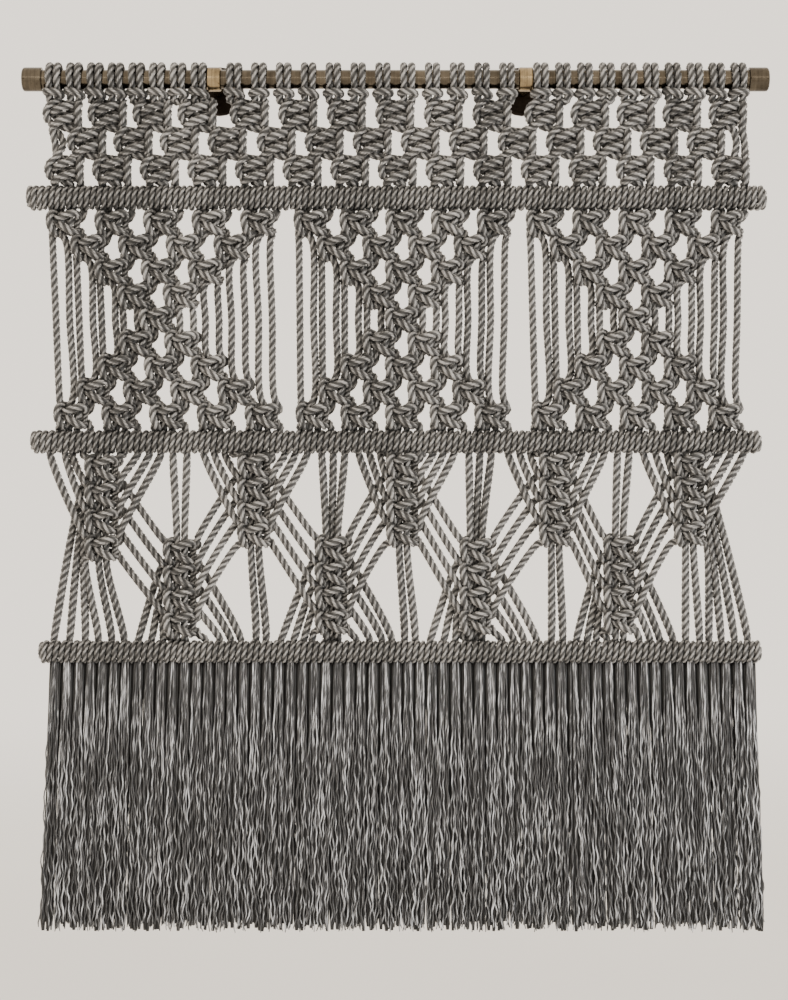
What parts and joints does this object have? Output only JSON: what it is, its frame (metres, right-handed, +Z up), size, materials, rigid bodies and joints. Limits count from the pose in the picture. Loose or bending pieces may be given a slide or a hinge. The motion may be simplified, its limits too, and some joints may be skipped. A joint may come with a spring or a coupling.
{
  "type": "macrame wall hanging on a rod",
  "caption": "Macrame wall hanging of thick grey twisted cord: knotted net, hourglass knots, short sinnets and a long fringe, on a brass rod with wall brackets.",
  "frame": {"origin": "on the wall, behind the middle of the rod, at the height of the rod's axis", "axes": "+X right along the rod, -Y out of the wall towards the viewer, +Z up"},
  "size_m": [0.745, 0.083, 0.8761],
  "materials": {
    "cord": "twisted three-strand cotton blend cord, grey taupe, soft sheen",
    "fringe_yarn": "unravelled cord yarn, heathered grey, soft sheen",
    "tube_brass": "aged satin brass tube",
    "collar_brass": "bright satin brass",
    "plate_bronze": "dark bronzed brass"
  },
  "bodies": {
    "root": {"rod": "tube_brass", "end_cap_left": "tube_brass", "end_cap_right": "tube_brass", "bracket_left": "collar_brass", "bracket_right": "collar_brass", "wall_plate_left": "plate_bronze", "wall_plate_right": "plate_bronze", "macrame": "cord", "fringe": "fringe_yarn"}
  },
  "joints": []
}
